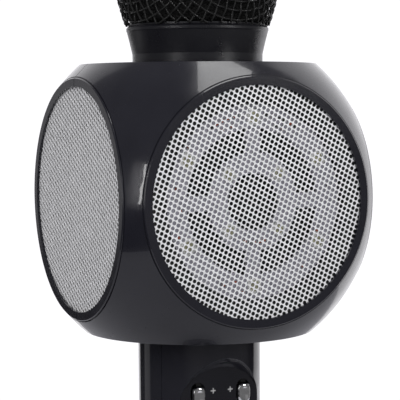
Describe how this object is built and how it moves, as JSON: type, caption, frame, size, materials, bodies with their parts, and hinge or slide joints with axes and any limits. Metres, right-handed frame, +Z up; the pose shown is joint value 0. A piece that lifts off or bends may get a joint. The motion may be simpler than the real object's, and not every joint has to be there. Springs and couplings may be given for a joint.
{
  "type": "karaoke microphone",
  "caption": "Hand-held karaoke microphone with a wire ball head, a cube-like loudspeaker head with round grilles, and a handle with sliders and push buttons.",
  "frame": {"origin": "centre of the flat base of the handle", "axes": "+Z up along the microphone, -Y out of the control panel and the front grille"},
  "size_m": [0.088, 0.088, 0.2719],
  "materials": {
    "head_plastic": "satin gloss moulded black",
    "handle_plastic": "high gloss black",
    "panel_plastic": "high gloss black",
    "collar_plastic": "satin black",
    "ball_wire": "satin black paint over steel wire",
    "foam": "open-cell foam",
    "grille_metal": "bare perforated sheet",
    "baffle_plastic": "matt",
    "led_board": "white solder mask",
    "led_lamp": "clear resin",
    "basket_steel": "black paint",
    "magnet": "dull",
    "cone": "matt",
    "rubber": "matt",
    "lead": "matt",
    "plate_metal": "satin",
    "screw_steel": "plated",
    "knob_chrome": "mirror plated",
    "electronics": "matt",
    "circuit_board": "green solder mask",
    "battery": "plastic sleeve",
    "lens": "clear",
    "socket_metal": "plated",
    "socket_plastic": "matt"
  },
  "bodies": {
    "microphone": {"audio_jack": "socket_plastic", "baffle_front": "baffle_plastic", "baffle_left": "baffle_plastic", "baffle_rear": "baffle_plastic", "baffle_right": "baffle_plastic", "ball_band": "ball_wire", "ball_cage_lower": "ball_wire", "ball_cage_upper": "ball_wire", "ball_thread_ring": "collar_plastic", "battery_cell": "battery", "capsule": "plate_metal", "capsule_lead": "lead", "capsule_mount": "baffle_plastic", "control_panel": "panel_plastic", "driver_basket_front": "basket_steel", "driver_basket_rear": "basket_steel", "driver_magnet_front": "magnet", "driver_magnet_rear": "magnet", "driver_surround_front": "rubber", "driver_surround_rear": "rubber", "echo_potentiometer": "electronics", "end_barrel": "handle_plastic", "grille_front": "grille_metal", "grille_left": "grille_metal", "grille_rear": "grille_metal", "grille_right": "grille_metal", "handle_shell_front": "handle_plastic", "handle_shell_rear": "handle_plastic", "head_screws": "screw_steel", "head_shell_front": "head_plastic", "head_shell_rear": "head_plastic", "led_board_front": "led_board", "led_board_rear": "led_board", "led_lamps_front": "led_lamp", "led_lamps_rear": "led_lamp", "main_board": "circuit_board", "music_potentiometer": "electronics", "neck_collar": "collar_plastic", "neck_flange": "handle_plastic", "radiator_frame_left": "basket_steel", "radiator_frame_right": "basket_steel", "radiator_surround_left": "rubber", "radiator_surround_right": "rubber", "spigot_screw": "screw_steel", "status_lens": "lens", "tact_switches": "electronics", "usb_socket": "socket_metal", "windscreen_foam": "foam"},
    "music_knob": {"music_knob": "knob_chrome"},
    "echo_knob": {"echo_knob": "knob_chrome"},
    "play_button": {"play_button": "panel_plastic"},
    "previous_button": {"previous_button": "panel_plastic"},
    "next_button": {"next_button": "panel_plastic"},
    "mode_button": {"mode_button": "panel_plastic"},
    "record_button": {"record_button": "panel_plastic"},
    "power_button": {"power_button": "panel_plastic"},
    "front_cone": {"driver_cone_front": "cone"},
    "rear_cone": {"driver_cone_rear": "cone"},
    "left_radiator": {"radiator_plate_left": "plate_metal"},
    "right_radiator": {"radiator_plate_right": "plate_metal"}
  },
  "joints": [
    {"name": "music_slide", "type": "slide", "parent": "microphone", "child": "music_knob", "axis": [0, 0, 1], "range_m": [-0.014, 0]},
    {"name": "echo_slide", "type": "slide", "parent": "microphone", "child": "echo_knob", "axis": [0, 0, 1], "range_m": [-0.014, 0]},
    {"name": "play_press", "type": "slide", "parent": "microphone", "child": "play_button", "axis": [0, 1, 0], "range_m": [0, 0.0004], "stiffness_N_per_m": 800, "springref_m": -0.0004},
    {"name": "previous_press", "type": "slide", "parent": "microphone", "child": "previous_button", "axis": [0, 1, 0], "range_m": [0, 0.0004], "stiffness_N_per_m": 800, "springref_m": -0.0004},
    {"name": "next_press", "type": "slide", "parent": "microphone", "child": "next_button", "axis": [0, 1, 0], "range_m": [0, 0.0004], "stiffness_N_per_m": 800, "springref_m": -0.0004},
    {"name": "mode_press", "type": "slide", "parent": "microphone", "child": "mode_button", "axis": [0, 1, 0], "range_m": [0, 0.0004], "stiffness_N_per_m": 800, "springref_m": -0.0004},
    {"name": "record_press", "type": "slide", "parent": "microphone", "child": "record_button", "axis": [0, 1, 0], "range_m": [0, 0.0004], "stiffness_N_per_m": 800, "springref_m": -0.0004},
    {"name": "power_press", "type": "slide", "parent": "microphone", "child": "power_button", "axis": [0, 1, 0], "range_m": [0, 0.0004], "stiffness_N_per_m": 800, "springref_m": -0.0004},
    {"name": "front_cone_excursion", "type": "slide", "parent": "microphone", "child": "front_cone", "axis": [0, -1, 0], "range_m": [-0.0008, 0.0008], "stiffness_N_per_m": 1200},
    {"name": "rear_cone_excursion", "type": "slide", "parent": "microphone", "child": "rear_cone", "axis": [0, 1, 0], "range_m": [-0.0008, 0.0008], "stiffness_N_per_m": 1200},
    {"name": "left_radiator_excursion", "type": "slide", "parent": "microphone", "child": "left_radiator", "axis": [-1, 0, 0], "range_m": [-0.0008, 0.0008], "stiffness_N_per_m": 1500},
    {"name": "right_radiator_excursion", "type": "slide", "parent": "microphone", "child": "right_radiator", "axis": [1, 0, 0], "range_m": [-0.0008, 0.0008], "stiffness_N_per_m": 1500}
  ]
}
